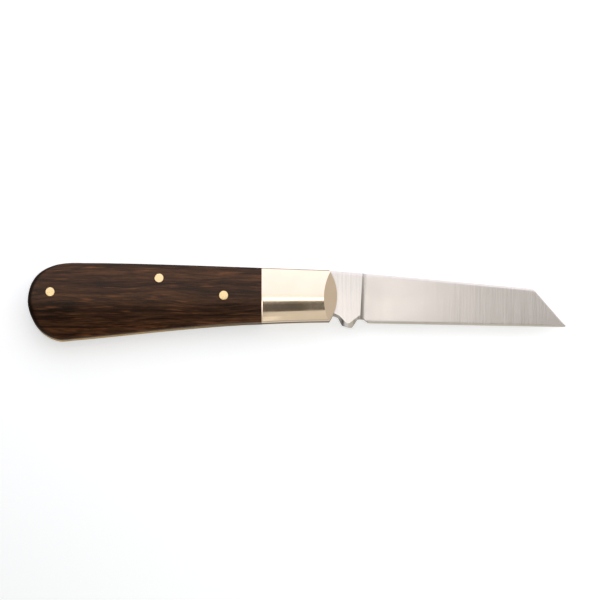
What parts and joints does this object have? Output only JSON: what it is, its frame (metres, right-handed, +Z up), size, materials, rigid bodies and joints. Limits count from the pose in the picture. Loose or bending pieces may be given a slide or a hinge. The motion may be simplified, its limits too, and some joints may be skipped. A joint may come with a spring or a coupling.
{
  "type": "folding pocket knife",
  "caption": "Slip-joint folding pocket knife with a straight-edged lambfoot blade, wood covers, brass bolsters, liners and flush pins, shown open.",
  "frame": {"origin": "middle of the open knife's box, on the surface that the mark side rests on", "axes": "+X runs to the blade's tip, +Y to the handle's back, +Z up out of the pile side"},
  "size_m": [0.1658, 0.024, 0.0109],
  "materials": {
    "blade_steel": "satin, fine lines across the blade",
    "spring_steel": "ground",
    "bolster_brass": "polished",
    "liner_brass": "ground",
    "pin_brass": "peened and polished flush",
    "rosewood": "oiled satin, open grain along the handle"
  },
  "bodies": {
    "handle": {"pile_liner": "liner_brass", "mark_liner": "liner_brass", "pile_bolster": "bolster_brass", "mark_bolster": "bolster_brass", "pile_scale": "rosewood", "mark_scale": "rosewood", "pivot_pin": "bolster_brass", "centre_pin": "pin_brass", "butt_pin": "pin_brass", "pile_scale_pin": "pin_brass", "mark_scale_pin": "pin_brass", "pile_bolster_rivets": "bolster_brass", "mark_bolster_rivets": "bolster_brass"},
    "blade": {"blade": "blade_steel"},
    "spring": {"back_spring": "spring_steel"}
  },
  "joints": [
    {"name": "blade_pivot", "type": "hinge", "parent": "handle", "child": "blade", "pos_m": [0.0012, -0.00007, 0.0054], "axis": [0, 0, -1], "range_deg": [0, 174]},
    {"name": "spring_flex", "type": "hinge", "parent": "handle", "child": "spring", "pos_m": [-0.0425, 0.00728, 0.0054], "axis": [0, 0, 1], "range_deg": [0, 1.1], "stiffness_Nm_per_rad": 140, "deforming": ["back_spring"]}
  ]
}
